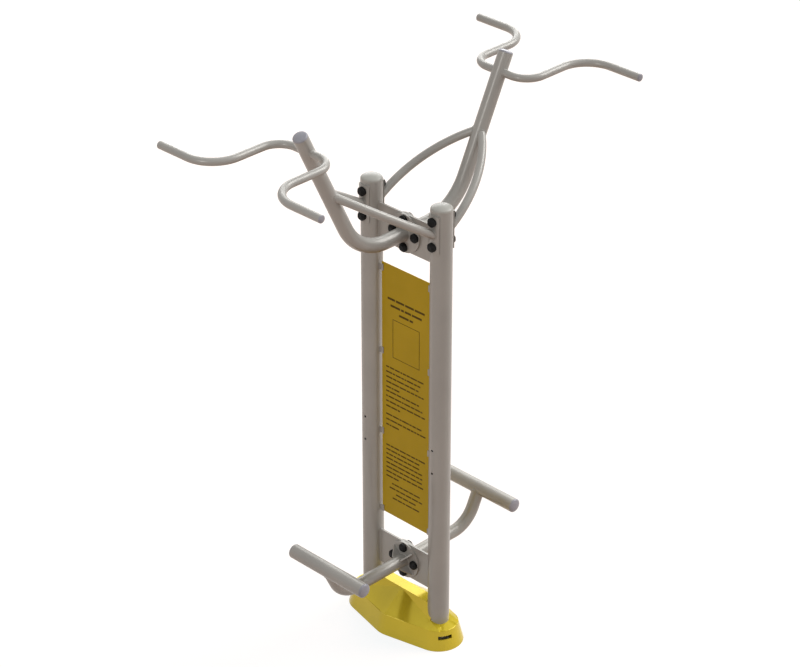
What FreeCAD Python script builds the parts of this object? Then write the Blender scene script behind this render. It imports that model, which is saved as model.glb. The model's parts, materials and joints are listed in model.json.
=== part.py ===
import FreeCAD, Part
import math
import os

import Sketcher
from FreeCAD import Placement, Rotation, Vector

# Outdoor pull-up bar with two posts. Front and rear each have an arm, a grip bar, two struts and a foot rest.
# Millimetres, +Z up. The origin is on the ground midway between the posts.
# +X runs from the left post to the right post, and -Y is the front.

FRONT = -1
REAR = 1
LEFT = -1
RIGHT = 1
ENDS = (("front", FRONT), ("rear", REAR))
SIDES = (("left", LEFT), ("right", RIGHT))
BOTH = (-1, 1)

DIMENSIONS = (
    # Posts, their domed caps and the accessory holes in their front walls
    ("post_diameter", 88.9),
    ("post_wall", 3.2),
    ("post_spacing", 381),
    ("post_top", 1996),
    ("cap_dome", 20),
    ("cap_shoulder", 12),
    ("cap_wall", 4),
    ("cap_spigot", 30),
    ("accessory_height", 877),
    ("accessory_spacing", 107),
    ("accessory_hole", 11),
    # Foot plates under the posts, with four anchor holes each, and the ribs on them
    ("foot_plate_side", 130),
    ("foot_plate_thickness", 10),
    ("anchor_edge", 15),
    ("anchor_hole", 14),
    ("foot_rib_height", 60),
    ("rib_thickness", 6),
    ("rib_edge", 6),
    ("rib_count", 4),
    # Cross plates between the posts and the flanges bolted to them
    ("cross_plate_height", 162),
    ("cross_plate_thickness", 8),
    ("upper_flange_drop", 168),
    ("lower_flange_height", 304),
    ("flange_diameter", 165),
    ("flange_thickness", 8),
    ("flange_edge", 22.5),
    ("flange_bolts", 4),
    # Arms and the grip bars that pass through them
    ("arm_diameter", 60.3),
    ("arm_wall", 3.2),
    ("arm_corner_reach", 264),
    ("arm_bend", 240),
    ("arm_lean", 26),
    ("arm_stand_out", 70),
    ("grip_diameter", 32),
    ("grip_wall", 3),
    ("grip_rise", 519),
    ("grip_span", 860),
    ("grip_leg_spacing", 298),
    ("grip_leg_length", 340),
    ("grip_inner_bend", 85),
    ("grip_outer_bend", 130),
    # Struts from the posts to the arms, on saddles that hug the posts
    ("strut_diameter", 33.7),
    ("strut_wall", 2.6),
    ("strut_join_rise", 308),
    ("saddle_drop", 92),
    ("saddle_edge", 26.5),
    ("saddle_thickness", 6.3),
    ("saddle_wrap", 68),
    ("saddle_bolt_spacing", 107),
    # Foot rests
    ("foot_arm_diameter", 54),
    ("foot_arm_wall", 3.2),
    ("foot_arm_bend", 130),
    ("foot_arm_lean", 26),
    ("foot_bar_diameter", 60.3),
    ("foot_bar_wall", 3),
    ("foot_bar_length", 400),
    ("foot_bar_rise", 150),
    ("foot_bar_reach", 441),
    ("gusset_edge", 9),
    ("gusset_run", 43),
    # Plugs in the open tube ends, with the dome and its shoulder as shares of the tube's radius
    ("plug_depth", 22),
    ("plug_bulge", 0.36),
    ("plug_shoulder", 0.26),
    # Sign panel on tabs welded to the posts, between the cross plates
    ("sign_width", 270),
    ("sign_thickness", 2),
    ("sign_top_gap", 95),
    ("sign_bottom_gap", 97),
    ("tab_height", 28),
    ("tab_thickness", 4),
    ("tab_overlap", 10),
    ("tab_count", 4),
    ("tab_top_margin", 24),
    ("tab_bottom_margin", 14),
    # Bolts of flanges and saddles, with plastic covers over both ends
    ("bolt_diameter", 12),
    ("bolt_head_height", 7.5),
    ("nut_flats", 19),
    ("nut_height", 10),
    ("washer_diameter", 24),
    ("washer_thickness", 2.5),
    ("thread_stand_out", 1.5),
    ("cover_cap_diameter", 38),
    ("cover_cap_wall", 2),
    ("cover_cap_chamfer", 8),
    # Base cover: a drafted skirt, a roof that falls from a flat ridge, and a low cone round each post
    ("cover_depth", 306),
    ("cover_corner_angle", 77),
    ("cover_mid_rounding", 120),
    ("cover_skirt", 85),
    ("cover_draft", 22),
    ("cover_wall", 4),
    ("ridge_rise", 86),
    ("ridge_width", 52),
    ("ridge_side_lean", 20),
    ("roof_overrun", 60),
    ("roof_end_rise", 2),
    ("cone_rise", 10),
    ("slot_width", 60),
    ("slot_height", 16),
    ("slot_drop", 21),
    ("slot_angle", 27),
    # Clearances
    ("plug_clearance", 0.2),
    ("hole_clearance", 1),
    ("grip_clearance", 0.2),
    ("cap_clearance", 1),
    ("foot_plate_clearance", 10),
    ("cover_clearance", 1.5),
)

# Sizes that follow from the driving dimensions
FITS = (
    ("post_x", "dims.post_spacing / 2"),
    ("post_radius", "dims.post_diameter / 2"),
    ("dome_inner", "post_radius - dims.cap_shoulder"),
    ("dome_drop", "dims.cap_dome - dims.cap_shoulder"),
    ("dome_radius", "(dome_inner ^ 2 + dims.cap_dome ^ 2 - dims.cap_shoulder ^ 2) / 2 / dome_drop"),
    ("dome_share", "dome_radius / (dome_radius - dims.cap_shoulder)"),
    ("dome_join_r", "dome_inner * dome_share"),
    ("dome_join_z", "dims.cap_dome - dome_radius + (dome_radius - dims.cap_dome) * dome_share"),
    ("plug_inner", "1 - dims.plug_shoulder"),
    ("plug_drop", "dims.plug_bulge - dims.plug_shoulder"),
    ("plug_dome", "(plug_inner ^ 2 + dims.plug_bulge ^ 2 - dims.plug_shoulder ^ 2) / 2 / plug_drop"),
    ("plug_share", "plug_dome / (plug_dome - dims.plug_shoulder)"),
    ("plug_join_r", "plug_inner * plug_share"),
    ("plug_join_z", "dims.plug_bulge - plug_dome + (plug_dome - dims.plug_bulge) * plug_share"),
    ("anchor_x", "dims.foot_plate_side / 2 - dims.anchor_edge"),
    ("foot_rib_leg", "dims.foot_plate_side / 2 - post_radius - dims.rib_edge"),
    ("upper_flange_z", "dims.post_top - dims.upper_flange_drop"),
    ("plate_face", "dims.cross_plate_thickness / 2"),
    ("flange_radius", "dims.flange_diameter / 2"),
    ("flange_face", "plate_face + dims.flange_thickness"),
    ("flange_bolt_reach", "flange_radius - dims.flange_edge"),
    ("bolt_hole_radius", "(dims.bolt_diameter + dims.hole_clearance) / 2"),
    ("arm_radius", "dims.arm_diameter / 2"),
    ("arm_rise", "dims.grip_rise + dims.arm_stand_out"),
    ("arm_top", "upper_flange_z + arm_rise"),
    ("arm_top_reach", "dims.arm_corner_reach + arm_rise * tan(dims.arm_lean)"),
    ("grip_z", "upper_flange_z + dims.grip_rise"),
    ("grip_radius", "dims.grip_diameter / 2"),
    ("grip_leg_x", "dims.grip_leg_spacing / 2"),
    ("grip_cross_reach", "dims.arm_corner_reach + dims.grip_rise * tan(dims.arm_lean)"),
    ("grip_reach", "grip_cross_reach + dims.grip_leg_length"),
    ("saddle_z", "dims.post_top - dims.saddle_drop"),
    ("saddle_radius", "post_radius + dims.saddle_thickness"),
    ("saddle_height", "dims.saddle_bolt_spacing + 2 * dims.saddle_edge"),
    ("saddle_bolt_rise", "dims.saddle_bolt_spacing / 2"),
    ("strut_rise", "upper_flange_z + dims.strut_join_rise - saddle_z"),
    ("strut_run", "dims.arm_corner_reach + dims.strut_join_rise * tan(dims.arm_lean) - saddle_radius"),
    ("strut_slope", "atan2(strut_rise; strut_run)"),
    ("strut_chord", "sqrt(strut_rise ^ 2 + strut_run ^ 2)"),
    ("strut_bend", "(post_x ^ 2 + strut_chord ^ 2) / (2 * post_x)"),
    ("strut_lead", "saddle_radius / cos(strut_slope)"),
    ("foot_arm_radius", "dims.foot_arm_diameter / 2"),
    ("foot_bar_radius", "dims.foot_bar_diameter / 2"),
    ("foot_bar_z", "dims.lower_flange_height + dims.foot_bar_rise"),
    ("foot_corner_reach", "dims.foot_bar_reach - dims.foot_bar_rise * tan(dims.foot_arm_lean)"),
    ("gusset_leg", "flange_radius - foot_arm_radius - dims.gusset_edge"),
    ("sign_bottom", "dims.lower_flange_height + dims.cross_plate_height / 2 + dims.sign_bottom_gap"),
    ("sign_top", "upper_flange_z - dims.cross_plate_height / 2 - dims.sign_top_gap"),
    ("tab_first", "sign_bottom + dims.tab_bottom_margin"),
    ("tab_reach", "sign_top - dims.tab_top_margin - tab_first"),
    ("tab_end_x", "dims.sign_width / 2 - dims.tab_overlap"),
    ("bolt_stack", "dims.washer_thickness + dims.nut_height + dims.thread_stand_out"),
    ("cover_cap_height", "bolt_stack + dims.cap_clearance + dims.cover_cap_wall"),
    ("cap_inner_chamfer", "dims.cover_cap_chamfer - dims.cover_cap_wall * (2 - sqrt(2))"),
    ("cover_end_radius", "dims.foot_plate_side / sqrt(2) + dims.foot_plate_clearance + dims.cover_wall"),
    ("cover_top_radius", "cover_end_radius - dims.cover_draft"),
    ("cover_top_middle", "dims.cover_depth / 2 - dims.cover_draft"),
    ("cover_ceiling", "dims.cover_skirt - dims.cover_wall"),
    ("roof_corner_x", "post_x + cover_top_radius * cos(dims.cover_corner_angle)"),
    ("roof_corner_foot", "cover_top_radius * sin(dims.cover_corner_angle)"),
    ("roof_slant", "atan2(cover_top_middle - roof_corner_foot; roof_corner_x)"),
    ("roof_middle_foot", "cover_top_middle - dims.cover_mid_rounding * (1 / cos(roof_slant) - 1)"),
    ("roof_end_x", "post_x + dims.roof_overrun"),
    ("roof_end_foot", "sqrt(cover_top_radius ^ 2 - dims.roof_overrun ^ 2)"),
    ("roof_fall", "dims.ridge_rise - dims.roof_end_rise"),
    ("roof_corner_fall", "roof_fall * roof_corner_x / roof_end_x"),
)

doc = FreeCAD.newDocument("pull_up_bar")
pieces = []


def fill_sheet(name, rows, mark):
    """Writes named rows into a new spreadsheet, one alias for each value."""
    sheet = doc.addObject("Spreadsheet::Sheet", name)
    for row, (alias, content) in enumerate(rows, 1):
        sheet.set(f"A{row}", alias)
        sheet.set(f"B{row}", f"{mark}{content}")
        sheet.setAlias(f"B{row}", alias)
    doc.recompute()
    return sheet


def number(expression):
    """The present value of an expression of the sheets."""
    result = dims.evalExpression(expression)
    return float(getattr(result, "Value", result))


def origin_part(body, role):
    return next(part for part in body.Origin.OriginFeatures if part.Role == role)


class Drawing:
    """A sketch on one of a body's own planes, whose sizes and places are expressions of the sheets."""

    def __init__(self, body, plane, lift="0"):
        self.sketch = body.newObject("Sketcher::SketchObject", "sketch")
        self.sketch.AttachmentSupport = [(origin_part(body, plane), "")]
        self.sketch.MapMode = "FlatFace"
        self.sketch.setExpression("AttachmentOffset.Base.z", lift)

    def bind(self, constraint, expression):
        index = self.sketch.addConstraint(constraint)
        self.sketch.setExpression(f"Constraints[{index}]", expression)

    def fix(self, geometry, point, place):
        for kind, expression in zip(("DistanceX", "DistanceY"), place):
            constraint = Sketcher.Constraint(kind, -1, 1, geometry, point, number(expression))
            self.bind(constraint, expression)

    def spot(self, place):
        return Vector(number(place[0]), number(place[1]), 0)

    def circle(self, radius, place=("0", "0")):
        shape = Part.Circle(self.spot(place), Vector(0, 0, 1), number(radius))
        index = self.sketch.addGeometry(shape, False)
        self.bind(Sketcher.Constraint("Radius", index, number(radius)), radius)
        self.fix(index, 3, place)

    def add_arc(self, start, end, centre, left_turn):
        """Adds an arc and gives its index and the point numbers of its start and end."""
        angles = [math.atan2(point.y - centre.y, point.x - centre.x) for point in (start, end)]
        if not left_turn:
            angles.reverse()
        circle = Part.Circle(centre, Vector(0, 0, 1), start.distanceToPoint(centre))
        index = self.sketch.addGeometry(Part.ArcOfCircle(circle, *angles), False)
        return (index, 1, 2) if left_turn else (index, 2, 1)

    def outline(self, corners, arcs=None, hollows=()):
        """A closed outline through corners, anticlockwise, by straight edges and arcs.

        arcs gives the radius of the edge that leaves a corner, by the corner's number.
        hollows holds the numbers of the arcs that bend inwards.
        """
        arcs = arcs or {}
        edges = []
        for count, place in enumerate(corners):
            start = self.spot(place)
            end = self.spot(corners[(count + 1) % len(corners)])
            if count not in arcs:
                edges.append((self.sketch.addGeometry(Part.LineSegment(start, end), False), 1, 2))
                continue
            radius = number(arcs[count])
            chord = end - start
            depth = math.sqrt(radius ** 2 - chord.Length ** 2 / 4)
            side = -1 if count in hollows else 1
            centre = (start + end) * 0.5 + Vector(-chord.y, chord.x, 0).normalize() * depth * side
            edges.append(self.add_arc(start, end, centre, count not in hollows))
            self.bind(Sketcher.Constraint("Radius", edges[-1][0], radius), arcs[count])
        for edge, following, place in zip(edges, edges[1:] + edges[:1], corners):
            joint = Sketcher.Constraint("Coincident", edge[0], edge[2], following[0], following[1])
            self.sketch.addConstraint(joint)
            self.fix(edge[0], edge[1], place)

    def bent_line(self, corners, bends):
        """An open line through corners, rounded at each inner corner by a tangent bend."""
        spots = [self.spot(place) for place in corners]
        starts = [spots[0]]
        ends = []
        centres = []
        turns = []
        for before, corner, after, bend in zip(spots, spots[1:], spots[2:], bends):
            inward = (corner - before).normalize()
            outward = (after - corner).normalize()
            tangent = number(bend) * math.tan(inward.getAngle(outward) / 2)
            left_turn = inward.cross(outward).z > 0
            side = Vector(-inward.y, inward.x, 0) * (1 if left_turn else -1)
            ends.append(corner - inward * tangent)
            starts.append(corner + outward * tangent)
            centres.append(ends[-1] + side * number(bend))
            turns.append(left_turn)
        ends.append(spots[-1])
        lines = []
        for start, end in zip(starts, ends):
            lines.append(self.sketch.addGeometry(Part.LineSegment(start, end), False))
        self.fix(lines[0], 1, corners[0])
        self.fix(lines[-1], 2, corners[-1])
        for count, bend in enumerate(bends):
            arc, first, last = self.add_arc(ends[count], starts[count + 1], centres[count], turns[count])
            corner = self.sketch.addGeometry(Part.Point(spots[count + 1]), True)
            self.fix(corner, 1, corners[count + 1])
            for line in lines[count:count + 2]:
                self.sketch.addConstraint(Sketcher.Constraint("PointOnObject", corner, 1, line))
            self.sketch.addConstraint(Sketcher.Constraint("Tangent", lines[count], 2, arc, first))
            self.sketch.addConstraint(Sketcher.Constraint("Tangent", arc, last, lines[count + 1], 1))
            self.bind(Sketcher.Constraint("Radius", arc, number(bend)), bend)

    def upright_axis(self, x):
        """A construction line that a profile can be revolved about."""
        index = self.sketch.addGeometry(Part.LineSegment(self.spot((x, "0")), self.spot((x, "1"))), True)
        self.fix(index, 1, (x, "0"))
        self.fix(index, 2, (x, "1"))


def make_body(label, base=("0", "0", "0"), rotation=None, exported=True):
    """A body whose place is bound to the sheets. A body may hold a group of equal solids."""
    body = doc.addObject("PartDesign::Body", label)
    body.AllowCompound = True
    body.Placement = Placement(Vector(), rotation or Rotation())
    for axis, expression in zip("xyz", base):
        body.setExpression(f"Placement.Base.{axis}", expression)
    if exported:
        pieces.append(body)
    return body


def facing(end):
    """Turns a body's Z axis to the front or to the rear, with its X axis kept."""
    return Rotation(Vector(1, 0, 0), -90 * end)


def pad(body, drawing, length, symmetric=False, reverse=False):
    feature = body.newObject("PartDesign::Pad", "pad")
    feature.Profile = drawing.sketch
    feature.setExpression("Length", length)
    feature.SideType = "Symmetric" if symmetric else "One side"
    feature.Reversed = reverse
    return feature


def cut_through(body, drawing, one_side=False):
    """Cuts a sketch right through the body, or only towards its normal."""
    feature = body.newObject("PartDesign::Pocket", "cut")
    feature.Profile = drawing.sketch
    feature.Type = "ThroughAll"
    feature.SideType = "One side" if one_side else "Symmetric"
    feature.Reversed = one_side
    return feature


def cut_depth(body, drawing, depth):
    """Cuts a sketch to a depth, towards its normal."""
    feature = cut_through(body, drawing, one_side=True)
    feature.Type = "Length"
    feature.setExpression("Length", depth)
    return feature


def revolve(body, drawing, axis=None):
    """Revolves a profile about the body's Z axis, or about the drawing's own upright axis."""
    feature = body.newObject("PartDesign::Revolution", "revolution")
    feature.Profile = drawing.sketch
    feature.ReferenceAxis = axis or (origin_part(body, "Z_Axis"), [""])
    feature.Angle = 360
    return feature


def loft(body, kind, sections):
    """Adds or cuts out a body with straight edges from each section to the next."""
    feature = body.newObject(f"PartDesign::{kind}Loft", "loft")
    feature.Profile = sections[0].sketch
    feature.Sections = [section.sketch for section in sections[1:]]
    feature.Ruled = True
    return feature


def tube_along(body, path, profile):
    feature = body.newObject("PartDesign::AdditivePipe", "tube")
    feature.Profile = profile.sketch
    feature.Spine = (path.sketch, [""])
    return feature


def ring(drawing, outer_diameter, wall, place=("0", "0")):
    drawing.circle(f"{outer_diameter} / 2", place)
    drawing.circle(f"{outer_diameter} / 2 - {wall}", place)
    return drawing


def around(body, features, count):
    pattern = body.newObject("PartDesign::PolarPattern", "around")
    pattern.Originals = features
    pattern.Axis = (origin_part(body, "Z_Axis"), [""])
    pattern.Angle = 360
    pattern.setExpression("Occurrences", count)
    body.Tip = pattern
    return pattern


def along(body, features, axis, length, count):
    pattern = body.newObject("PartDesign::LinearPattern", "along")
    pattern.Originals = features
    pattern.Direction = (origin_part(body, axis), [""])
    pattern.setExpression("Length", length)
    pattern.setExpression("Occurrences", count)
    body.Tip = pattern
    return pattern


def mirror(body, plane, features=None):
    """Mirrors the whole body, or only the given features, in one of its planes."""
    doc.recompute()
    pattern = body.newObject("PartDesign::Mirrored", "mirror")
    if features:
        pattern.Originals = features
    else:
        pattern.TransformMode = "Whole shape"
    pattern.MirrorPlane = (origin_part(body, plane), [""])
    body.Tip = pattern
    return pattern


def hexagon(drawing, flats, place):
    corners = []
    for step in range(6):
        x = f"{place[0]} + {flats} / sqrt(3) * cos({60 * step})"
        y = f"{place[1]} + {flats} / sqrt(3) * sin({60 * step})"
        corners.append((x, y))
    drawing.outline(corners)


def build_post(side_name, side):
    start = "dims.foot_plate_thickness"
    body = make_body(f"{side_name}_post", (f"{side} * fits.post_x", "0", start))
    section = ring(Drawing(body, "XY_Plane"), "dims.post_diameter", "dims.post_wall")
    pad(body, section, f"dims.post_top - {start}")
    bolt_holes = Drawing(body, "XZ_Plane")
    accessory_holes = Drawing(body, "XZ_Plane")
    for step in BOTH:
        bolt_height = f"fits.saddle_z - {start} + {step} * fits.saddle_bolt_rise"
        bolt_holes.circle("fits.bolt_hole_radius", ("0", bolt_height))
        accessory_height = f"dims.accessory_height - {start} + {step} * dims.accessory_spacing / 2"
        accessory_holes.circle("dims.accessory_hole / 2", ("0", accessory_height))
    cut_through(body, bolt_holes)
    cut_through(body, accessory_holes, one_side=True)


def build_post_cap(side_name, side):
    """A dome with a rounded shoulder on a hollow spigot that fits into the post."""
    body = make_body(f"{side_name}_post_cap", (f"{side} * fits.post_x", "0", "dims.post_top"))
    profile = Drawing(body, "XZ_Plane")
    spigot = "fits.post_radius - dims.post_wall - dims.plug_clearance"
    recess = f"{spigot} - dims.cap_wall"
    profile.outline(
        (
            ("0", "0"),
            (recess, "0"),
            (recess, "-dims.cap_spigot"),
            (spigot, "-dims.cap_spigot"),
            (spigot, "0"),
            ("fits.post_radius", "0"),
            ("fits.dome_join_r", "fits.dome_join_z"),
            ("0", "dims.cap_dome"),
        ),
        {5: "dims.cap_shoulder", 6: "fits.dome_radius"},
    )
    revolve(body, profile)


def build_ribs(label, base, rotation, foot, tube_radius, leg, run):
    """Triangular ribs, with blunt tips, in the corner between a tube and the plate at its foot."""
    body = make_body(label, base, rotation)
    profile = Drawing(body, "XZ_Plane")
    inner = f"{tube_radius} - dims.rib_thickness / 2"
    profile.outline(
        (
            (inner, foot),
            (f"{tube_radius} + {leg}", foot),
            (f"{tube_radius} + {leg}", f"{foot} + dims.rib_edge"),
            (f"{tube_radius} + dims.rib_edge", f"{foot} + {run}"),
            (inner, f"{foot} + {run}"),
        )
    )
    rib = pad(body, profile, "dims.rib_thickness", symmetric=True)
    around(body, [rib], "dims.rib_count")
    tube = Drawing(body, "XY_Plane")
    tube.circle(tube_radius)
    cut_through(body, tube)


def build_foot_plate(side_name, side):
    x = f"{side} * fits.post_x"
    body = make_body(f"{side_name}_foot_plate", (x, "0", "0"))
    outline = Drawing(body, "XY_Plane")
    half = "dims.foot_plate_side / 2"
    outline.outline(((f"-{half}", f"-{half}"), (half, f"-{half}"), (half, half), (f"-{half}", half)))
    for step_x in BOTH:
        for step_y in BOTH:
            outline.circle("dims.anchor_hole / 2", (f"{step_x} * fits.anchor_x", f"{step_y} * fits.anchor_x"))
    pad(body, outline, "dims.foot_plate_thickness")
    plate_top = (x, "0", "dims.foot_plate_thickness")
    sizes = ("fits.post_radius", "fits.foot_rib_leg", "dims.foot_rib_height")
    build_ribs(f"{side_name}_foot_ribs", plate_top, None, "0", *sizes)


def flange_bolt_holes(drawing):
    for place in (("1", "0"), ("0", "1"), ("-1", "0"), ("0", "-1")):
        drawing.circle("fits.bolt_hole_radius", tuple(f"{share} * fits.flange_bolt_reach" for share in place))


def build_cross_plate(label, height):
    body = make_body(label, ("0", "0", height), facing(FRONT))
    outline = Drawing(body, "XY_Plane")
    x = "fits.post_x"
    y = "dims.cross_plate_height / 2"
    outline.outline(((f"-{x}", f"-{y}"), (x, f"-{y}"), (x, y), (f"-{x}", y)))
    flange_bolt_holes(outline)
    pad(body, outline, "dims.cross_plate_thickness", symmetric=True)
    posts = Drawing(body, "XZ_Plane")
    for _, side in SIDES:
        posts.circle("fits.post_radius", (f"{side} * fits.post_x", "0"))
    cut_through(body, posts)


def build_flange(label, end, height):
    body = make_body(label, ("0", "0", height), facing(end))
    outline = Drawing(body, "XY_Plane", "fits.plate_face")
    outline.circle("fits.flange_radius")
    flange_bolt_holes(outline)
    pad(body, outline, "dims.flange_thickness")


def build_plugs(label, base, rotation, seat, diameter, wall, both_ends=False):
    """A domed plug in the end of a tube that runs along the body's Z axis, or one in each end."""
    body = make_body(label, base, rotation)
    profile = Drawing(body, "XZ_Plane")
    radius = f"{diameter} / 2"
    bore = f"{radius} - {wall} - dims.plug_clearance"
    profile.outline(
        (
            ("0", f"{seat} - dims.plug_depth"),
            (bore, f"{seat} - dims.plug_depth"),
            (bore, seat),
            (radius, seat),
            (f"{radius} * fits.plug_join_r", f"{seat} + {radius} * fits.plug_join_z"),
            ("0", f"{seat} + {radius} * dims.plug_bulge"),
        ),
        {3: f"{radius} * dims.plug_shoulder", 4: f"{radius} * fits.plug_dome"},
    )
    revolve(body, profile)
    if both_ends:
        mirror(body, "XY_Plane")
    return body


def build_arm(end_name, end):
    """A bent tube from the flange to above the grip bar, with a hole for the bar and a plug in its top."""
    body = make_body(f"{end_name}_arm_tube", ("0", "0", "fits.upper_flange_z"))
    path = Drawing(body, "YZ_Plane")
    path.bent_line(
        (
            (f"{end} * fits.flange_face", "0"),
            (f"{end} * dims.arm_corner_reach", "0"),
            (f"{end} * fits.arm_top_reach", "fits.arm_rise"),
        ),
        ("dims.arm_bend",),
    )
    profile = Drawing(body, "XZ_Plane", f"{-end} * fits.flange_face")
    tube_along(body, path, ring(profile, "dims.arm_diameter", "dims.arm_wall"))
    grip_hole = Drawing(body, "YZ_Plane")
    crossing = (f"{end} * fits.grip_cross_reach", "dims.grip_rise")
    grip_hole.circle("fits.grip_radius + dims.grip_clearance", crossing)
    cut_through(body, grip_hole)
    top = ("0", f"{end} * fits.arm_top_reach", "fits.arm_top")
    lean = Rotation(Vector(-end, 0, 0), number("dims.arm_lean"))
    plug = build_plugs(f"{end_name}_arm_end_cap", top, lean, "0", "dims.arm_diameter", "dims.arm_wall")
    plug.setExpression("Placement.Rotation.Angle", "dims.arm_lean")


def build_grip_bar(end_name, end):
    body = make_body(f"{end_name}_grip_bar", ("0", "0", "fits.grip_z"))
    path = Drawing(body, "XY_Plane")
    outer = f"{end} * fits.grip_reach"
    inner = f"{end} * fits.grip_cross_reach"
    path.bent_line(
        (
            ("-dims.grip_span / 2", outer),
            ("-fits.grip_leg_x", outer),
            ("-fits.grip_leg_x", inner),
            ("fits.grip_leg_x", inner),
            ("fits.grip_leg_x", outer),
            ("dims.grip_span / 2", outer),
        ),
        ("dims.grip_outer_bend", "dims.grip_inner_bend", "dims.grip_inner_bend", "dims.grip_outer_bend"),
    )
    profile = Drawing(body, "YZ_Plane", "-dims.grip_span / 2")
    tube_along(body, path, ring(profile, "dims.grip_diameter", "dims.grip_wall", (outer, "0")))
    lie_down = Rotation(Vector(0, 1, 0), 90)
    sizes = ("dims.grip_span / 2", "dims.grip_diameter", "dims.grip_wall")
    build_plugs(f"{end_name}_grip_bar_caps", ("0", outer, "fits.grip_z"), lie_down, *sizes, both_ends=True)


def build_saddle(label, side, end):
    """A curved plate that hugs the post, with a bolt hole above and below the strut."""
    body = make_body(label, (f"{side} * fits.post_x", "0", "fits.saddle_z"))
    outline = Drawing(body, "XY_Plane")
    half_sine = "sin(dims.saddle_wrap / 2)"
    half_cosine = "cos(dims.saddle_wrap / 2)"
    corners = []
    for shell, step in (("saddle", -1), ("saddle", 1), ("post", 1), ("post", -1)):
        x = f"{-step * end} * fits.{shell}_radius * {half_sine}"
        corners.append((x, f"{end} * fits.{shell}_radius * {half_cosine}"))
    outline.outline(corners, {0: "fits.saddle_radius", 2: "fits.post_radius"}, hollows=(2,))
    pad(body, outline, "fits.saddle_height", symmetric=True)
    holes = Drawing(body, "XZ_Plane")
    for step in BOTH:
        holes.circle("fits.bolt_hole_radius", ("0", f"{step} * fits.saddle_bolt_rise"))
    cut_through(body, holes)


def arm_envelope(end_name, end):
    """The outside of an arm's straight upper length, for the struts to be coped to."""
    cylinder = doc.addObject("Part::Cylinder", f"{end_name}_arm_envelope")
    cylinder.setExpression("Radius", "fits.arm_radius")
    cylinder.setExpression("Height", "fits.arm_rise / cos(dims.arm_lean)")
    cylinder.Placement = Placement(Vector(), Rotation(Vector(-end, 0, 0), number("dims.arm_lean")))
    cylinder.setExpression("Placement.Rotation.Angle", "dims.arm_lean")
    cylinder.setExpression("Placement.Base.y", f"{end} * dims.arm_corner_reach")
    cylinder.setExpression("Placement.Base.z", "fits.upper_flange_z")
    return cylinder


def build_strut(label, side, end, envelope):
    """A strut bent in the plane of its slope: straight off the saddle, then one arc inwards to the arm."""
    slope = "fits.strut_slope" if end == REAR else "180 deg - fits.strut_slope"
    base = ("0", f"{end} * fits.saddle_radius", "fits.saddle_z")
    body = make_body(f"{label}_blank", base, Rotation(Vector(1, 0, 0), number(slope)), exported=False)
    body.setExpression("Placement.Rotation.Angle", slope)
    path = Drawing(body, "XY_Plane")
    root_x = f"{side} * fits.post_x"
    root = path.spot((root_x, "0"))
    start = path.spot((root_x, "-fits.strut_lead"))
    tip = path.spot(("0", "fits.strut_chord"))
    centre = path.spot((f"{root_x} - {side} * fits.strut_bend", "0"))
    lead = path.sketch.addGeometry(Part.LineSegment(start, root), False)
    arc, first, last = path.add_arc(root, tip, centre, side == RIGHT)
    path.fix(lead, 1, (root_x, "-fits.strut_lead"))
    path.fix(lead, 2, (root_x, "0"))
    path.sketch.addConstraint(Sketcher.Constraint("Tangent", lead, 2, arc, first))
    path.fix(arc, last, ("0", "fits.strut_chord"))
    profile = Drawing(body, "XZ_Plane", "fits.strut_lead")
    tube_along(body, path, ring(profile, "dims.strut_diameter", "dims.strut_wall", (root_x, "0")))
    post = doc.addObject("Part::Cylinder", f"{label}_post_envelope")
    post.setExpression("Radius", "fits.saddle_radius")
    post.setExpression("Height", "fits.arm_top")
    post.setExpression("Placement.Base.x", root_x)
    coped = doc.addObject("Part::Cut", f"{label}_coped")
    coped.Base = body
    coped.Tool = envelope
    strut = doc.addObject("Part::Cut", label)
    strut.Base = coped
    strut.Tool = post
    pieces.append(strut)


def build_foot_rest(end_name, end):
    """A bent arm on a flange with gussets, and a bar across its end."""
    height = "dims.lower_flange_height"
    arm = make_body(f"{end_name}_foot_arm", ("0", "0", height))
    path = Drawing(arm, "YZ_Plane")
    bar_place = (f"{end} * dims.foot_bar_reach", "dims.foot_bar_rise")
    path.bent_line(
        ((f"{end} * fits.flange_face", "0"), (f"{end} * fits.foot_corner_reach", "0"), bar_place),
        ("dims.foot_arm_bend",),
    )
    profile = Drawing(arm, "XZ_Plane", f"{-end} * fits.flange_face")
    tube_along(arm, path, ring(profile, "dims.foot_arm_diameter", "dims.foot_arm_wall"))
    seat = Drawing(arm, "YZ_Plane")
    seat.circle("fits.foot_bar_radius", bar_place)
    cut_through(arm, seat)
    build_flange(f"{end_name}_foot_flange", end, height)
    between_bolts = facing(end) * Rotation(Vector(0, 0, 1), 45)
    sizes = ("fits.flange_face", "fits.foot_arm_radius", "fits.gusset_leg", "dims.gusset_run")
    build_ribs(f"{end_name}_foot_gussets", ("0", "0", height), between_bolts, *sizes)
    place = ("0", bar_place[0], "fits.foot_bar_z")
    lie_down = Rotation(Vector(0, 1, 0), 90)
    bar = make_body(f"{end_name}_foot_bar", place, lie_down)
    section = ring(Drawing(bar, "XY_Plane"), "dims.foot_bar_diameter", "dims.foot_bar_wall")
    pad(bar, section, "dims.foot_bar_length", symmetric=True)
    sizes = ("dims.foot_bar_length / 2", "dims.foot_bar_diameter", "dims.foot_bar_wall")
    build_plugs(f"{end_name}_foot_bar_caps", place, lie_down, *sizes, both_ends=True)


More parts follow.
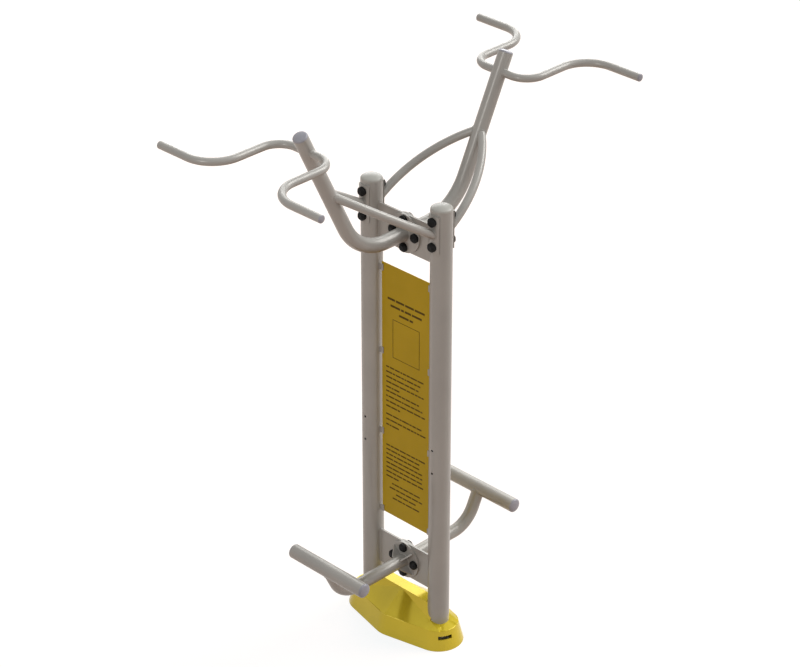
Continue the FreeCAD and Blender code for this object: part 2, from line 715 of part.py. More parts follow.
def build_sign():
    """A panel whose front face is in the plane of the posts, behind a column of tabs on each side."""
    base = ("0", "0", "fits.tab_first")
    panel = make_body("sign_panel", base)
    outline = Drawing(panel, "XZ_Plane")
    x = "dims.sign_width / 2"
    low = "-dims.tab_bottom_margin"
    high = "fits.tab_reach + dims.tab_top_margin"
    outline.outline(((f"-{x}", low), (x, low), (x, high), (f"-{x}", high)))
    pad(panel, outline, "dims.sign_thickness", reverse=True)
    for side_name, side in SIDES:
        tabs = make_body(f"{side_name}_sign_tabs", base)
        blank = Drawing(tabs, "XZ_Plane")
        inner = f"{side} * fits.tab_end_x"
        outer = f"{side} * fits.post_x"
        half = "dims.tab_height / 2"
        blank.outline(((inner, f"-{half}"), (outer, f"-{half}"), (outer, half), (inner, half)))
        tab = pad(tabs, blank, "dims.tab_thickness")
        along(tabs, [tab], "Z_Axis", "fits.tab_reach", "dims.tab_count")
        post = Drawing(tabs, "XY_Plane")
        post.circle("fits.post_radius", (outer, "0"))
        cut_through(tabs, post)


def seat_on_saddle(body, place):
    """Cuts a body's foot to the round of the saddle that it sits on."""
    saddle = Drawing(body, "XZ_Plane")
    saddle.circle("fits.saddle_radius", (place[0], "0"))
    return [cut_through(body, saddle)]


def spread_on_flange(body, features):
    around(body, features, "dims.flange_bolts")


def spread_on_posts(body, features):
    mirror(body, "YZ_Plane", features)
    mirror(body, "XZ_Plane")


def build_bolts(name, base, place, seat, spread):
    """Through-bolts and their nuts. seat is the distance of a washer's outer face from the middle."""
    bolts = make_body(f"{name}_bolts", base, facing(FRONT))
    head = Drawing(bolts, "XY_Plane", seat)
    hexagon(head, "dims.nut_flats", place)
    shank = Drawing(bolts, "XY_Plane", seat)
    shank.circle("dims.bolt_diameter / 2", place)
    length = f"2 * ({seat}) + dims.nut_height + dims.thread_stand_out"
    spread(bolts, [pad(bolts, head, "dims.bolt_head_height"), pad(bolts, shank, length, reverse=True)])
    nuts = make_body(f"{name}_nuts", base, facing(FRONT))
    outline = Drawing(nuts, "XY_Plane", f"-({seat})")
    hexagon(outline, "dims.nut_flats", place)
    outline.circle("dims.bolt_diameter / 2", place)
    spread(nuts, [pad(nuts, outline, "dims.nut_height", reverse=True)])


def build_washers(name, base, place, seat, spread, on_saddle):
    washers = make_body(f"{name}_washers", base, facing(FRONT))
    disc = Drawing(washers, "XY_Plane", seat)
    disc.circle("dims.washer_diameter / 2", place)
    disc.circle("fits.bolt_hole_radius", place)
    thickness = "dims.saddle_thickness" if on_saddle else "dims.washer_thickness"
    features = [pad(washers, disc, thickness, reverse=True)]
    if on_saddle:
        features += seat_on_saddle(washers, place)
    spread(washers, features)
    mirror(washers, "XY_Plane")


def build_bolt_covers(name, base, place, seat, spread, on_saddle):
    """Hollow caps with a chamfered top over each bolt head and each nut."""
    covers = make_body(f"{name}_covers", base, facing(FRONT))
    profile = Drawing(covers, "XZ_Plane", f"-({place[1]})")
    profile.upright_axis(place[0])
    radius = "dims.cover_cap_diameter / 2"
    bore = f"{radius} - dims.cover_cap_wall"
    chamfer = "dims.cover_cap_chamfer"
    surface = f"{seat} - dims.washer_thickness"
    foot = "fits.post_radius" if on_saddle else surface
    top = f"{surface} + fits.cover_cap_height"
    ceiling = f"{top} - dims.cover_cap_wall"
    rows = (
        ("0", ceiling),
        (f"{bore} - fits.cap_inner_chamfer", ceiling),
        (bore, f"{ceiling} - fits.cap_inner_chamfer"),
        (bore, foot),
        (radius, foot),
        (radius, f"{top} - {chamfer}"),
        (f"{radius} - {chamfer}", top),
        ("0", top),
    )
    profile.outline(tuple((f"{place[0]} + {r}", z) for r, z in rows))
    features = [revolve(covers, profile, (profile.sketch, ["Axis0"]))]
    if on_saddle:
        features += seat_on_saddle(covers, place)
    spread(covers, features)
    mirror(covers, "XY_Plane")


def build_fasteners(name, height, place, surface, spread, on_saddle=False):
    """The bolts of one joint, with a washer and a cover at both ends. surface is what the washers lie on."""
    base = ("0", "0", height)
    seat = f"{surface} + dims.washer_thickness"
    build_bolts(name, base, place, seat, spread)
    build_washers(name, base, place, seat, spread, on_saddle)
    build_bolt_covers(name, base, place, seat, spread, on_saddle)


def skirt_section(body, height, inset):
    """The skirt's outline at a height: sides that meet in a rounded point, and ends round the posts."""
    drawing = Drawing(body, "XY_Plane", height)
    end = f"(fits.cover_end_radius - {inset})"
    corner_x = f"(fits.post_x + {end} * cos(dims.cover_corner_angle))"
    corner_y = f"({end} * sin(dims.cover_corner_angle))"
    middle = f"(dims.cover_depth / 2 - {inset})"
    slant = f"atan2({middle} - {corner_y}; {corner_x})"
    tangent = f"(dims.cover_mid_rounding * tan({slant}))"
    mid_x = f"{tangent} * cos({slant})"
    mid_y = f"({middle} - {tangent} * sin({slant}))"
    drawing.outline(
        (
            (f"-{mid_x}", f"-{mid_y}"),
            (mid_x, f"-{mid_y}"),
            (corner_x, f"-{corner_y}"),
            (corner_x, corner_y),
            (mid_x, mid_y),
            (f"-{mid_x}", mid_y),
            (f"-{corner_x}", corner_y),
            (f"-{corner_x}", f"-{corner_y}"),
        ),
        {0: "dims.cover_mid_rounding", 2: end, 4: "dims.cover_mid_rounding", 6: end},
    )
    return drawing


def roof_section(body, x, foot, fall, inset="0"):
    """The roof's cross-section at an x, from its foot at the skirt's top to a top some way below the ridge.

    inset is what the section stays below the outer surface. It stays in twice as far at its foot.
    """
    drawing = Drawing(body, "YZ_Plane", x)
    top_y = f"(dims.ridge_width / 2 + {fall} * tan(dims.ridge_side_lean) - {inset})"
    top_z = f"dims.cover_skirt + dims.ridge_rise - {fall} - {inset}"
    foot_y = f"({foot} - 2 * {inset})"
    foot_z = f"dims.cover_skirt - {inset}"
    corners = [(f"-{foot_y}", foot_z), (foot_y, foot_z), (top_y, top_z), (f"-{top_y}", top_z)]
    if inset != "0":
        plinth_y = f"({foot_y} - {inset})"
        plinth_z = f"{foot_z} - {inset}"
        corners = corners[:1] + [(f"-{plinth_y}", plinth_z), (plinth_y, plinth_z)] + corners[1:]
    drawing.outline(corners)
    return drawing


def build_base_cover():
    body = make_body("base_cover")
    wall = "dims.cover_wall"
    middle = ("0", "fits.roof_middle_foot", "0")
    corner = ("fits.roof_corner_x", "fits.roof_corner_foot", "fits.roof_corner_fall")
    end = ("fits.roof_end_x", "fits.roof_end_foot", "fits.roof_fall")
    spine_foot = "(dims.ridge_width / 2 + dims.ridge_rise * tan(dims.ridge_side_lean))"
    spine = ("fits.post_x", spine_foot, "0")

    def there(place):
        return (f"-{place[0]}", *place[1:])

    skirt_top = skirt_section(body, "dims.cover_skirt", "dims.cover_draft")
    loft(body, "Additive", [skirt_section(body, "0", "0"), skirt_top])
    roof = (there(end), there(corner), middle, corner, end)
    loft(body, "Additive", [roof_section(body, *place) for place in roof])
    loft(body, "Additive", [roof_section(body, *place) for place in (there(spine), spine)])
    cone = Drawing(body, "XZ_Plane")
    cone.upright_axis("fits.post_x")
    cone_foot = f"fits.cover_top_radius - {wall}"
    cone_top = "dims.cover_skirt + dims.cone_rise"
    rows = (
        ("0", "fits.cover_ceiling"),
        (cone_foot, "fits.cover_ceiling"),
        (cone_foot, "dims.cover_skirt"),
        ("fits.post_radius", cone_top),
        ("0", cone_top),
    )
    cone.outline(tuple((f"fits.post_x + {r}", z) for r, z in rows))
    cones = revolve(body, cone, (cone.sketch, ["Axis0"]))
    mirror(body, "YZ_Plane", [cones])

    hollow_top = skirt_section(body, "fits.cover_ceiling", f"(dims.cover_draft + {wall})")
    loft(body, "Subtractive", [skirt_section(body, "0", wall), hollow_top])
    hollow_roof = (there(corner), middle, corner)
    loft(body, "Subtractive", [roof_section(body, *place, wall) for place in hollow_roof])
    loft(body, "Subtractive", [roof_section(body, *place, wall) for place in (there(spine), spine)])
    snug = Drawing(body, "XY_Plane")
    loose = Drawing(body, "XY_Plane")
    for _, side in SIDES:
        snug.circle("fits.post_radius", (f"{side} * fits.post_x", "0"))
        loose.circle("fits.post_radius + dims.cover_clearance", (f"{side} * fits.post_x", "0"))
    cut_through(body, snug)
    cut_depth(body, loose, "dims.cover_skirt")
    cut_slots(body)


def cut_slots(body):
    """A level slot through the skirt at each end, towards the front."""
    slot = body.newObject("PartDesign::SubtractiveBox", "slot")
    slot.setExpression("Length", "dims.cover_draft + 3 * dims.cover_wall")
    slot.setExpression("Width", "dims.slot_width")
    slot.setExpression("Height", "dims.slot_height")
    slot.Placement = Placement(Vector(), Rotation(Vector(0, 0, -1), number("dims.slot_angle")))
    slot.setExpression("Placement.Rotation.Angle", "dims.slot_angle")
    reach = "(fits.cover_top_radius - 2 * dims.cover_wall)"
    half = "dims.slot_width / 2"
    along_x = f"{reach} * cos(dims.slot_angle) - {half} * sin(dims.slot_angle)"
    along_y = f"{reach} * sin(dims.slot_angle) + {half} * cos(dims.slot_angle)"
    slot.setExpression("Placement.Base.x", f"fits.post_x + {along_x}")
    slot.setExpression("Placement.Base.y", f"-({along_y})")
    slot.setExpression("Placement.Base.z", "dims.cover_skirt - dims.slot_drop - dims.slot_height")
    mirror(body, "YZ_Plane", [slot])


dims = fill_sheet("dims", DIMENSIONS, "")
fits = fill_sheet("fits", FITS, "=")

build_base_cover()
for side_name, side in SIDES:
    build_foot_plate(side_name, side)
    build_post(side_name, side)
    build_post_cap(side_name, side)
build_cross_plate("upper_cross_plate", "fits.upper_flange_z")
build_cross_plate("lower_cross_plate", "dims.lower_flange_height")
for end_name, end in ENDS:
    build_flange(f"{end_name}_arm_flange", end, "fits.upper_flange_z")
    build_arm(end_name, end)
    build_grip_bar(end_name, end)
    envelope = arm_envelope(end_name, end)
    for side_name, side in SIDES:
        build_saddle(f"{end_name}_{side_name}_saddle", side, end)
        build_strut(f"{end_name}_{side_name}_strut", side, end, envelope)
    build_foot_rest(end_name, end)
build_sign()
for name, height in (("arm_flange", "fits.upper_flange_z"), ("foot_flange", "dims.lower_flange_height")):
    build_fasteners(name, height, ("fits.flange_bolt_reach", "0"), "fits.flange_face", spread_on_flange)
saddle_bolt = ("fits.post_x", "fits.saddle_bolt_rise")
build_fasteners("saddle", "fits.saddle_z", saddle_bolt, "fits.saddle_radius", spread_on_posts, True)
doc.recompute()

faults = []
for item in doc.Objects:
    if "Invalid" in item.State or "Error" in item.State:
        faults.append(f"{item.Label}: {item.State}")
for piece in pieces:
    if piece.Shape.isNull() or not piece.Shape.isValid() or not piece.Shape.Solids:
        faults.append(f"{piece.Label}: no valid solid")
if faults:
    raise RuntimeError("; ".join(faults))

os.makedirs("parts", exist_ok=True)
for piece in pieces:
    piece.Shape.exportStep(f"parts/{piece.Label}.step")
    print(f"{piece.Label}: {len(piece.Shape.Solids)} solids, {piece.Shape.Volume / 1000:.1f} cm3")
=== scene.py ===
import json
import math
import random

import bmesh
import bpy
from mathutils import Matrix, Quaternion, Vector


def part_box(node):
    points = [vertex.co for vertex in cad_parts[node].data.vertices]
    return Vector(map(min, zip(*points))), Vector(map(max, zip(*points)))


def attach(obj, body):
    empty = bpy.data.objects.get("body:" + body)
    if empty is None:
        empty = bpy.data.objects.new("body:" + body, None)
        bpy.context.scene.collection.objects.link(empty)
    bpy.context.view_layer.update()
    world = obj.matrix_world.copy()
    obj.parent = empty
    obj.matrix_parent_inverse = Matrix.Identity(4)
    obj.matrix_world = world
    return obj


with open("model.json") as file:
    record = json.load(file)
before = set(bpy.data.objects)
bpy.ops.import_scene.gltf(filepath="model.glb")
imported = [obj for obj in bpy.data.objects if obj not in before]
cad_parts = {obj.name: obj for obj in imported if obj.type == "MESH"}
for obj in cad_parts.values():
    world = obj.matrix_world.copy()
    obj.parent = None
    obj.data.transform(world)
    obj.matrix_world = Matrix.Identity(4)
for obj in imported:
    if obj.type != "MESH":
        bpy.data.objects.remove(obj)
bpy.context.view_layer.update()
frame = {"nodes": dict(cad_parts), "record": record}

# Looks of an outdoor pull-up bar: finishes, weld seams, a plain printed panel, light, floor and camera.
# Metres, in the frame of the solids: +Z up, -Y to the front, origin on the ground between the posts.

NODES = frame["nodes"]
SIDES = {"left": -1, "right": 1}
ENDS = {"front": -1, "rear": 1}
X = Vector((1, 0, 0))
Y = Vector((0, 1, 0))
Z = Vector((0, 0, 1))

# Bends and radii of the tubes that the boxes of the solids don't give
ARM_LEAN = math.radians(26)
ARM_CORNER_REACH = 0.264
FOOT_ARM_LEAN = math.radians(26)
STRUT_RADIUS = 0.01685
STRUT_JOIN_RISE = 0.308
GUSSET_THICKNESS = 0.006
GUSSET_LEG = 0.046
GUSSET_RUN = 0.042

# Weld beads: radius, distance between ripples, and the share of the radius that is left in a dip
WELD_SIZE = 0.003
WELD_STEP = 0.0025
WELD_DIP = 0.8

# What most values of a noise texture lie between
NOISE_LOW = 0.3
NOISE_HIGH = 0.7
CLOUD_DETAIL = 5.0
# How much finer the uneven gloss is than the colour clouds
GLOSS_FINENESS = 9
GRAIN_STRENGTH = 0.5

# Print on the panel. Heights on it are shares of the panel's height, counted from its top edge
INK_THICKNESS = 0.0003
PRINT_WIDTH = 0.225
PRINT_SEED = 5
TITLE_BAR = 0.0095
TEXT_BAR = 0.0066
# Lengths of a row's bars and the gap between them, as multiples of the bars' height
SHORTEST_WORD = 1.5
LONGEST_WORD = 6.0
WORD_GAP = 0.55
FRAME_WIDTH = 0.150
FRAME_TOP = 0.205
FRAME_FOOT = 0.355
FRAME_LINE = 0.0025
# Widths of rows as shares of the print's. A shorter paragraph has the last of these rows
TITLE = (1.0, 0.8, 0.5)
PARAGRAPH = (1.0, 0.96, 1.0, 0.98, 1.0, 0.95, 1.0, 0.4)
CLOSING = (0.8, 0.95, 0.6, 0.7)
# First and last row, bar height, widths of the rows, centred or not
PRINT_ROWS = (
    (0.130, 0.180, TITLE_BAR, TITLE, True),
    (0.400, 0.480, TEXT_BAR, PARAGRAPH[-5:], False),
    (0.497, 0.557, TEXT_BAR, PARAGRAPH[-4:], False),
    (0.590, 0.632, TEXT_BAR, PARAGRAPH[-3:], False),
    (0.716, 0.843, TEXT_BAR, PARAGRAPH, False),
    (0.868, 0.927, TEXT_BAR, CLOSING, True),
)

# The floor lies a little under the part. Its warm colour tints what lies low, and its lift makes it
# white where it is seen
FLOOR_HALF = 60.0
FLOOR_DROP = 0.0005
FLOOR_COLOUR = (0.37, 0.23, 0.16)
FLOOR_LIFT = (0.76, 0.84, 0.88)
SKY_HORIZON = (0.35, 0.33, 0.33)
SKY_ZENITH = (0.45, 0.45, 0.44)
LAMP_TARGET = (0, 0, 1.0)
# The key is a far, broad lamp from above and behind. The others are soft boxes: place, power, width, height
KEY_PLACE = (2.0, 5.0, 5.0)
KEY_POWER = 2.1
KEY_ANGLE = math.radians(40)
SOFT_BOXES = {
    "rear": ((-3.6, 3.7, 3.7), 120, 4.0, 4.0),
    "front": ((1.0, -6.2, 4.7), 65, 0.8, 1.8),
}

CAMERA_PLACE = Vector((6.5907, -6.6608, 6.6411))
CAMERA_AZIMUTH = math.radians(44.844)
CAMERA_ELEVATION = math.radians(29.329)
CAMERA_LENS = 121.87
SENSOR_WIDTH = 36.0
CAMERA_SIGHT = 500.0


def centre(node):
    low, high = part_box(node)
    return (low + high) / 2


def half_size(node):
    low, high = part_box(node)
    return (high - low) / 2


def add_node(tree, kind, inputs=None, **settings):
    node = tree.nodes.new(kind)
    for key, value in settings.items():
        setattr(node, key, value)
    for key, value in (inputs or {}).items():
        node.inputs[key].default_value = value
    return node


def noise(tree, scale, detail=3.0):
    """A noise texture in the piece's own frame, with its scale in cells per metre."""
    coordinates = add_node(tree, "ShaderNodeTexCoord")
    texture = add_node(tree, "ShaderNodeTexNoise", {"Scale": scale, "Detail": detail})
    tree.links.new(coordinates.outputs["Object"], texture.inputs["Vector"])
    return texture.outputs["Fac"]


def ramp(tree, value, stops):
    node = add_node(tree, "ShaderNodeValToRGB")
    elements = node.color_ramp.elements
    while len(elements) < len(stops):
        elements.new(1.0)
    for element, (place, colour) in zip(elements, stops):
        element.position = place
        element.color = (*colour, 1.0)
    tree.links.new(value, node.inputs["Fac"])
    return node.outputs["Color"]


def spread(tree, value, low, high):
    """Maps a noise value to a range."""
    limits = {"From Min": NOISE_LOW, "From Max": NOISE_HIGH, "To Min": low, "To Max": high}
    node = add_node(tree, "ShaderNodeMapRange", limits)
    tree.links.new(value, node.inputs["Value"])
    return node.outputs["Result"]


def finish(name, tones, roughness, grain, metallic=0.0, cloud=6.0, specular=0.5):
    """A surface with slow colour clouds, an uneven gloss and a fine grain.

    tones are the darkest and lightest colour. grain is its cells per metre and its depth in metres.
    """
    material = bpy.data.materials.new(name)
    material.use_nodes = True
    tree = material.node_tree
    shader = tree.nodes["Principled BSDF"]
    shader.inputs["Metallic"].default_value = metallic
    shader.inputs["Specular IOR Level"].default_value = specular
    clouds = noise(tree, cloud, CLOUD_DETAIL)
    colour = ramp(tree, clouds, ((NOISE_LOW, tones[0]), (NOISE_HIGH, tones[1])))
    tree.links.new(colour, shader.inputs["Base Color"])
    gloss = spread(tree, noise(tree, cloud * GLOSS_FINENESS), *roughness)
    tree.links.new(gloss, shader.inputs["Roughness"])
    bump = add_node(tree, "ShaderNodeBump", {"Strength": GRAIN_STRENGTH, "Distance": grain[1]})
    tree.links.new(noise(tree, grain[0]), bump.inputs["Height"])
    tree.links.new(bump.outputs["Normal"], shader.inputs["Normal"])
    return material


MATERIALS = {
    "grey_paint": finish(
        "grey_paint",
        ((0.405, 0.395, 0.37), (0.445, 0.435, 0.405)),
        roughness=(0.28, 0.35),
        grain=(350, 0.00003),
        metallic=0.15,
        specular=0.2,
    ),
    "post_cap_paint": finish(
        "post_cap_paint",
        ((0.43, 0.425, 0.39), (0.475, 0.47, 0.43)),
        roughness=(0.28, 0.36),
        grain=(350, 0.00003),
        specular=0.4,
    ),
    "plug_plastic": finish(
        "plug_plastic",
        ((0.32, 0.32, 0.36), (0.37, 0.37, 0.41)),
        roughness=(0.28, 0.36),
        grain=(900, 0.00002),
    ),
    "black_plastic": finish(
        "black_plastic",
        ((0.005, 0.005, 0.005), (0.012, 0.012, 0.012)),
        roughness=(0.40, 0.55),
        grain=(1500, 0.00003),
        cloud=40,
        specular=0.12,
    ),
    "yellow_plastic": finish(
        "yellow_plastic",
        ((0.63, 0.485, 0.020), (0.70, 0.545, 0.028)),
        roughness=(0.10, 0.16),
        grain=(250, 0.00003),
        metallic=0.3,
        specular=0.35,
    ),
    "sign_sheet": finish(
        "sign_sheet",
        ((0.535, 0.365, 0.005), (0.60, 0.41, 0.010)),
        roughness=(0.30, 0.40),
        grain=(900, 0.00001),
        specular=0.15,
    ),
    "zinc_steel": finish(
        "zinc_steel",
        ((0.50, 0.50, 0.50), (0.62, 0.62, 0.62)),
        roughness=(0.25, 0.40),
        grain=(1500, 0.00003),
        metallic=1.0,
    ),
    "dark_ink": finish(
        "dark_ink",
        ((0.085, 0.050, 0.003), (0.110, 0.066, 0.005)),
        roughness=(0.45, 0.60),
        grain=(1500, 0.00001),
        cloud=30,
        specular=0.1,
    ),
}


def dress_nodes():
    """Gives each solid the finish of its slot in the record."""
    slots = {row["node"]: row["material_slot"] for row in frame["record"]["subparts"]}
    for name, node in NODES.items():
        node.data.materials.clear()
        node.data.materials.append(MATERIALS[slots[name]])


def round_tube(middle, axis, radius):
    """Points round a tube, a weld step apart and even in number."""
    spoke = axis.orthogonal().normalized() * radius
    count = 2 * round(math.pi * radius / WELD_STEP)
    return [middle + Quaternion(axis, math.tau * step / count) @ spoke for step in range(count)]


def coped_seam(start, axis, radius, main_middle, main_axis, main_radius):
    """Points round a branch tube that comes from start, where it meets the outside of a main tube."""
    across = axis - axis.project(main_axis)
    seam = []
    for point in round_tube(start, axis, radius):
        gap = point - main_middle
        gap -= gap.project(main_axis)
        lead = gap.dot(across)
        depth = lead ** 2 - across.length_squared * (gap.length_squared - main_radius ** 2)
        seam.append(point - axis * (lead + math.sqrt(depth)) / across.length_squared)
    return seam


def straight_seam(first, last):
    count = max(2, round((last - first).length / WELD_STEP))
    return [first.lerp(last, step / count) for step in range(count + 1)]


def add_welds(name, rings, runs=()):
    """Rippled weld beads along closed rings and open runs of points."""
    curve = bpy.data.curves.new(name, "CURVE")
    curve.dimensions = "3D"
    curve.bevel_depth = WELD_SIZE
    curve.bevel_resolution = 2
    curve.use_fill_caps = True
    seams = [(seam, True) for seam in rings] + [(seam, False) for seam in runs]
    for seam, closed in seams:
        spline = curve.splines.new("POLY")
        spline.use_cyclic_u = closed
        spline.points.add(len(seam) - 1)
        for index, place in enumerate(seam):
            spline.points[index].co = (*place, 1)
            spline.points[index].radius = WELD_DIP if index % 2 else 1.0
    curve.materials.append(MATERIALS["grey_paint"])
    welds = bpy.data.objects.new(name, curve)
    bpy.context.scene.collection.objects.link(welds)
    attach(welds, "root")


def strut_seams(end, post, reach, height, join, arm_axis, arm_radius):
    """A strut's seam on its saddle and its seam on the arm.

    The strut leaves the saddle straight up its slope, and bends in one arc towards the join on the arm.
    """
    root = Vector((post.x, end * reach, height))
    slope = Vector((0, join.y - root.y, join.z - root.z))
    rise = slope.length
    slope.normalize()
    bend = (root.x ** 2 + rise ** 2) / (2 * abs(root.x))
    turn = math.asin(rise / bend)
    inwards = X * math.copysign(math.sin(turn), -root.x)
    tip = slope * math.cos(turn) + inwards
    return (
        coped_seam(root + slope, -slope, STRUT_RADIUS, post, Z, reach),
        coped_seam(join - tip, tip, STRUT_RADIUS, join, arm_axis, arm_radius),
    )


def weld_arm(end_name, end):
    """An arm's seams on its flange, round the grip bar and at both ends of its two struts."""
    radius = half_size(f"{end_name}_arm_tube").x
    flange = centre(f"{end_name}_arm_flange")
    face = flange + Y * end * half_size(f"{end_name}_arm_flange").y
    corner = Vector((0, end * ARM_CORNER_REACH, flange.z))
    axis = Vector((0, end * math.sin(ARM_LEAN), math.cos(ARM_LEAN)))
    grip_rise = centre(f"{end_name}_grip_bar").z - flange.z
    grip_radius = half_size(f"{end_name}_grip_bar").z
    crossing = corner + axis * grip_rise / axis.z
    join = corner + axis * STRUT_JOIN_RISE / axis.z
    rings = [round_tube(face, Y, radius)]
    for side_name, side in SIDES.items():
        rings.append(coped_seam(crossing + X * side, -X * side, grip_radius, crossing, axis, radius))
        saddle = f"{end_name}_{side_name}_saddle"
        reach = max(abs(edge.y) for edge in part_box(saddle))
        post = centre(f"{side_name}_post")
        rings += strut_seams(end, post, reach, centre(saddle).z, join, axis, radius)
    add_welds(f"{end_name}_arm_welds", rings)


def weld_foot_rest(end_name, end):
    """A foot rest's seams on its flange, along its gussets and under its bar."""
    arm_radius = half_size(f"{end_name}_foot_arm").x
    bar = centre(f"{end_name}_foot_bar")
    bar_radius = half_size(f"{end_name}_foot_bar").z
    flange = centre(f"{end_name}_foot_flange")
    face = flange + Y * end * half_size(f"{end_name}_foot_flange").y
    axis = Vector((0, end * math.sin(FOOT_ARM_LEAN), math.cos(FOOT_ARM_LEAN)))
    rings = [
        round_tube(face, Y, arm_radius),
        coped_seam(bar - axis, axis, arm_radius, bar, X, bar_radius),
    ]
    runs = []
    for quarter in range(4):
        spoke = Quaternion(Y, math.radians(45 + 90 * quarter)) @ Z
        for side in SIDES.values():
            corner = face + spoke * arm_radius + spoke.cross(Y) * side * GUSSET_THICKNESS / 2
            runs.append(straight_seam(corner, corner + spoke * GUSSET_LEG))
            runs.append(straight_seam(corner, corner + Y * end * GUSSET_RUN))
    add_welds(f"{end_name}_foot_welds", rings, runs)


def weld_cross_plates():
    """Upright seams of both cross plates on both posts."""
    radius = half_size("right_post").x
    post_x = centre("right_post").x
    runs = []
    for node in ("upper_cross_plate", "lower_cross_plate"):
        low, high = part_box(node)
        for side in SIDES.values():
            for face in (low.y, high.y):
                x = side * (post_x - math.sqrt(radius ** 2 - face ** 2))
                runs.append(straight_seam(Vector((x, face, low.z)), Vector((x, face, high.z))))
    add_welds("cross_plate_welds", (), runs)


def add_bar(mesh, left, right, top, foot, face):
    """One inked bar on the front of the panel."""
    size = Vector((right - left, INK_THICKNESS, top - foot))
    place = Vector(((left + right) / 2, face - INK_THICKNESS / 2, (top + foot) / 2))
    bmesh.ops.create_cube(mesh, size=1, matrix=Matrix.LocRotScale(place, None, size))


def add_row(mesh, chance, drop, height, width, centred, panel):
    """A row of bars as long as words, which say nothing."""
    low, high = panel
    words = []
    reach = 0
    while True:
        length = height * chance.uniform(SHORTEST_WORD, LONGEST_WORD)
        if reach + length > width:
            break
        words.append((reach, length))
        reach += length + height * WORD_GAP
    used = words[-1][0] + words[-1][1]
    left = -used / 2 if centred else -PRINT_WIDTH / 2
    middle = high.z - drop * (high.z - low.z)
    for start, length in words:
        add_bar(mesh, left + start, left + start + length, middle + height / 2, middle - height / 2, low.y)


def add_print():
    """Plain rows of bars and an empty frame where a panel of this kind has its instructions."""
    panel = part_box("sign_panel")
    low, high = panel
    chance = random.Random(PRINT_SEED)
    mesh = bmesh.new()
    for first, last, height, widths, centred in PRINT_ROWS:
        for row, width in enumerate(widths):
            drop = first + (last - first) * row / (len(widths) - 1)
            add_row(mesh, chance, drop, height, width * PRINT_WIDTH, centred, panel)
    top = high.z - FRAME_TOP * (high.z - low.z)
    foot = high.z - FRAME_FOOT * (high.z - low.z)
    half = FRAME_WIDTH / 2
    for line_top, line_foot in ((top, top - FRAME_LINE), (foot + FRAME_LINE, foot)):
        add_bar(mesh, -half, half, line_top, line_foot, low.y)
    for side in SIDES.values():
        edges = sorted((side * half, side * (half - FRAME_LINE)))
        add_bar(mesh, *edges, top - FRAME_LINE, foot + FRAME_LINE, low.y)
    data = bpy.data.meshes.new("panel_print")
    mesh.to_mesh(data)
    mesh.free()
    data.materials.append(MATERIALS["dark_ink"])
    ink = bpy.data.objects.new("panel_print", data)
    bpy.context.scene.collection.objects.link(ink)
    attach(ink, "root")


def white_for_sight(tree):
    """1 for rays that show the background: straight to the camera, in a reflection or through glass."""
    path = add_node(tree, "ShaderNodeLightPath")
    sight = path.outputs["Is Camera Ray"]
    for kind in ("Is Glossy Ray", "Is Transmission Ray"):
        either = add_node(tree, "ShaderNodeMath", operation="MAXIMUM")
        tree.links.new(sight, either.inputs[0])
        tree.links.new(path.outputs[kind], either.inputs[1])
        sight = either.outputs[0]
    return sight


def add_floor():
    half = FLOOR_HALF
    corners = [(-half, -half, 0), (half, -half, 0), (half, half, 0), (-half, half, 0)]
    mesh = bpy.data.meshes.new("floor")
    mesh.from_pydata(corners, [], [(0, 1, 2, 3)])
    floor = bpy.data.objects.new("floor", mesh)
    floor.location.z = -FLOOR_DROP
    bpy.context.scene.collection.objects.link(floor)
    material = bpy.data.materials.new("pale_floor")
    material.use_nodes = True
    tree = material.node_tree
    tree.nodes.remove(tree.nodes["Principled BSDF"])
    diffuse = add_node(tree, "ShaderNodeBsdfDiffuse", {"Color": (*FLOOR_COLOUR, 1)})
    glow = add_node(tree, "ShaderNodeEmission", {"Color": (*FLOOR_LIFT, 1)})
    tree.links.new(white_for_sight(tree), glow.inputs["Strength"])
    both = add_node(tree, "ShaderNodeAddShader")
    tree.links.new(diffuse.outputs[0], both.inputs[0])
    tree.links.new(glow.outputs[0], both.inputs[1])
    tree.links.new(both.outputs[0], tree.nodes["Material Output"].inputs["Surface"])
    mesh.materials.append(material)


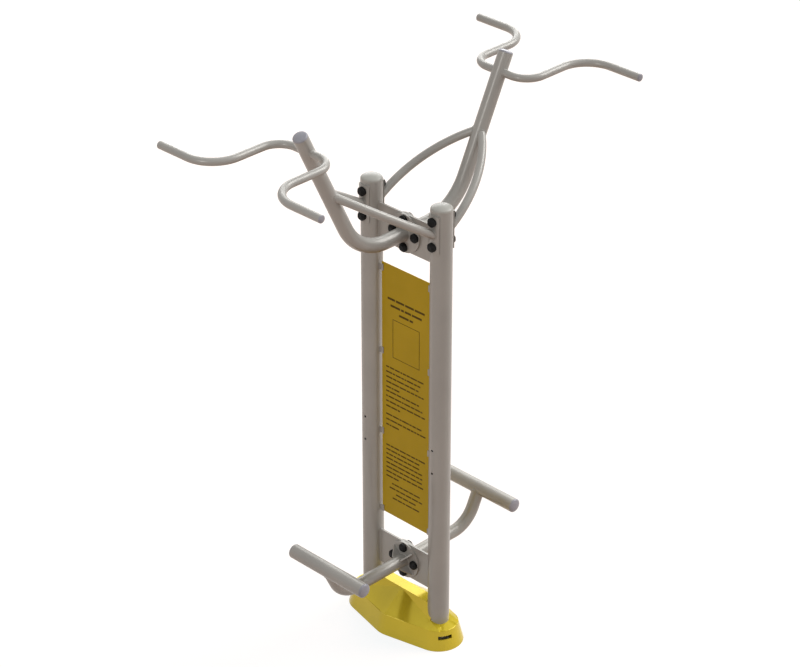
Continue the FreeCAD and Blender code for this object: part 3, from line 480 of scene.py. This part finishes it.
def add_world():
    """A soft sky, brightest overhead, that is plain white where it is seen."""
    world = bpy.data.worlds.new("studio")
    bpy.context.scene.world = world
    world.use_nodes = True
    tree = world.node_tree
    direction = add_node(tree, "ShaderNodeTexCoord")
    height = add_node(tree, "ShaderNodeSeparateXYZ")
    tree.links.new(direction.outputs["Generated"], height.inputs[0])
    light = ramp(tree, height.outputs["Z"], ((0.0, SKY_HORIZON), (1.0, SKY_ZENITH)))
    sky = tree.nodes["Background"]
    tree.links.new(light, sky.inputs["Color"])
    white = add_node(tree, "ShaderNodeBackground", {"Color": (1.0, 1.0, 1.0, 1.0)})
    either = add_node(tree, "ShaderNodeMixShader")
    tree.links.new(white_for_sight(tree), either.inputs[0])
    tree.links.new(sky.outputs[0], either.inputs[1])
    tree.links.new(white.outputs[0], either.inputs[2])
    tree.links.new(either.outputs[0], tree.nodes["World Output"].inputs["Surface"])


def add_lamp(name, kind, place, power):
    """A lamp that faces the middle of the posts."""
    lamp = bpy.data.lights.new(name, kind)
    lamp.energy = power
    holder = bpy.data.objects.new(name, lamp)
    holder.location = place
    holder.rotation_mode = "QUATERNION"
    holder.rotation_quaternion = (Vector(LAMP_TARGET) - Vector(place)).to_track_quat("-Z", "Y")
    bpy.context.scene.collection.objects.link(holder)
    return lamp


def add_lamps():
    add_lamp("key", "SUN", KEY_PLACE, KEY_POWER).angle = KEY_ANGLE
    for name, (place, power, width, height) in SOFT_BOXES.items():
        box = add_lamp(name, "AREA", place, power)
        box.shape = "RECTANGLE"
        box.size = width
        box.size_y = height


def add_camera():
    camera = bpy.data.cameras.new("camera")
    camera.lens = CAMERA_LENS
    camera.sensor_width = SENSOR_WIDTH
    camera.clip_end = CAMERA_SIGHT
    holder = bpy.data.objects.new("camera", camera)
    holder.location = CAMERA_PLACE
    holder.rotation_euler = (math.pi / 2 - CAMERA_ELEVATION, 0, CAMERA_AZIMUTH)
    bpy.context.scene.collection.objects.link(holder)
    bpy.context.scene.camera = holder


bpy.context.scene.view_settings.view_transform = "Standard"
dress_nodes()
for end_name, end in ENDS.items():
    weld_arm(end_name, end)
    weld_foot_rest(end_name, end)
weld_cross_plates()
add_print()
add_floor()
add_world()
add_lamps()
add_camera()
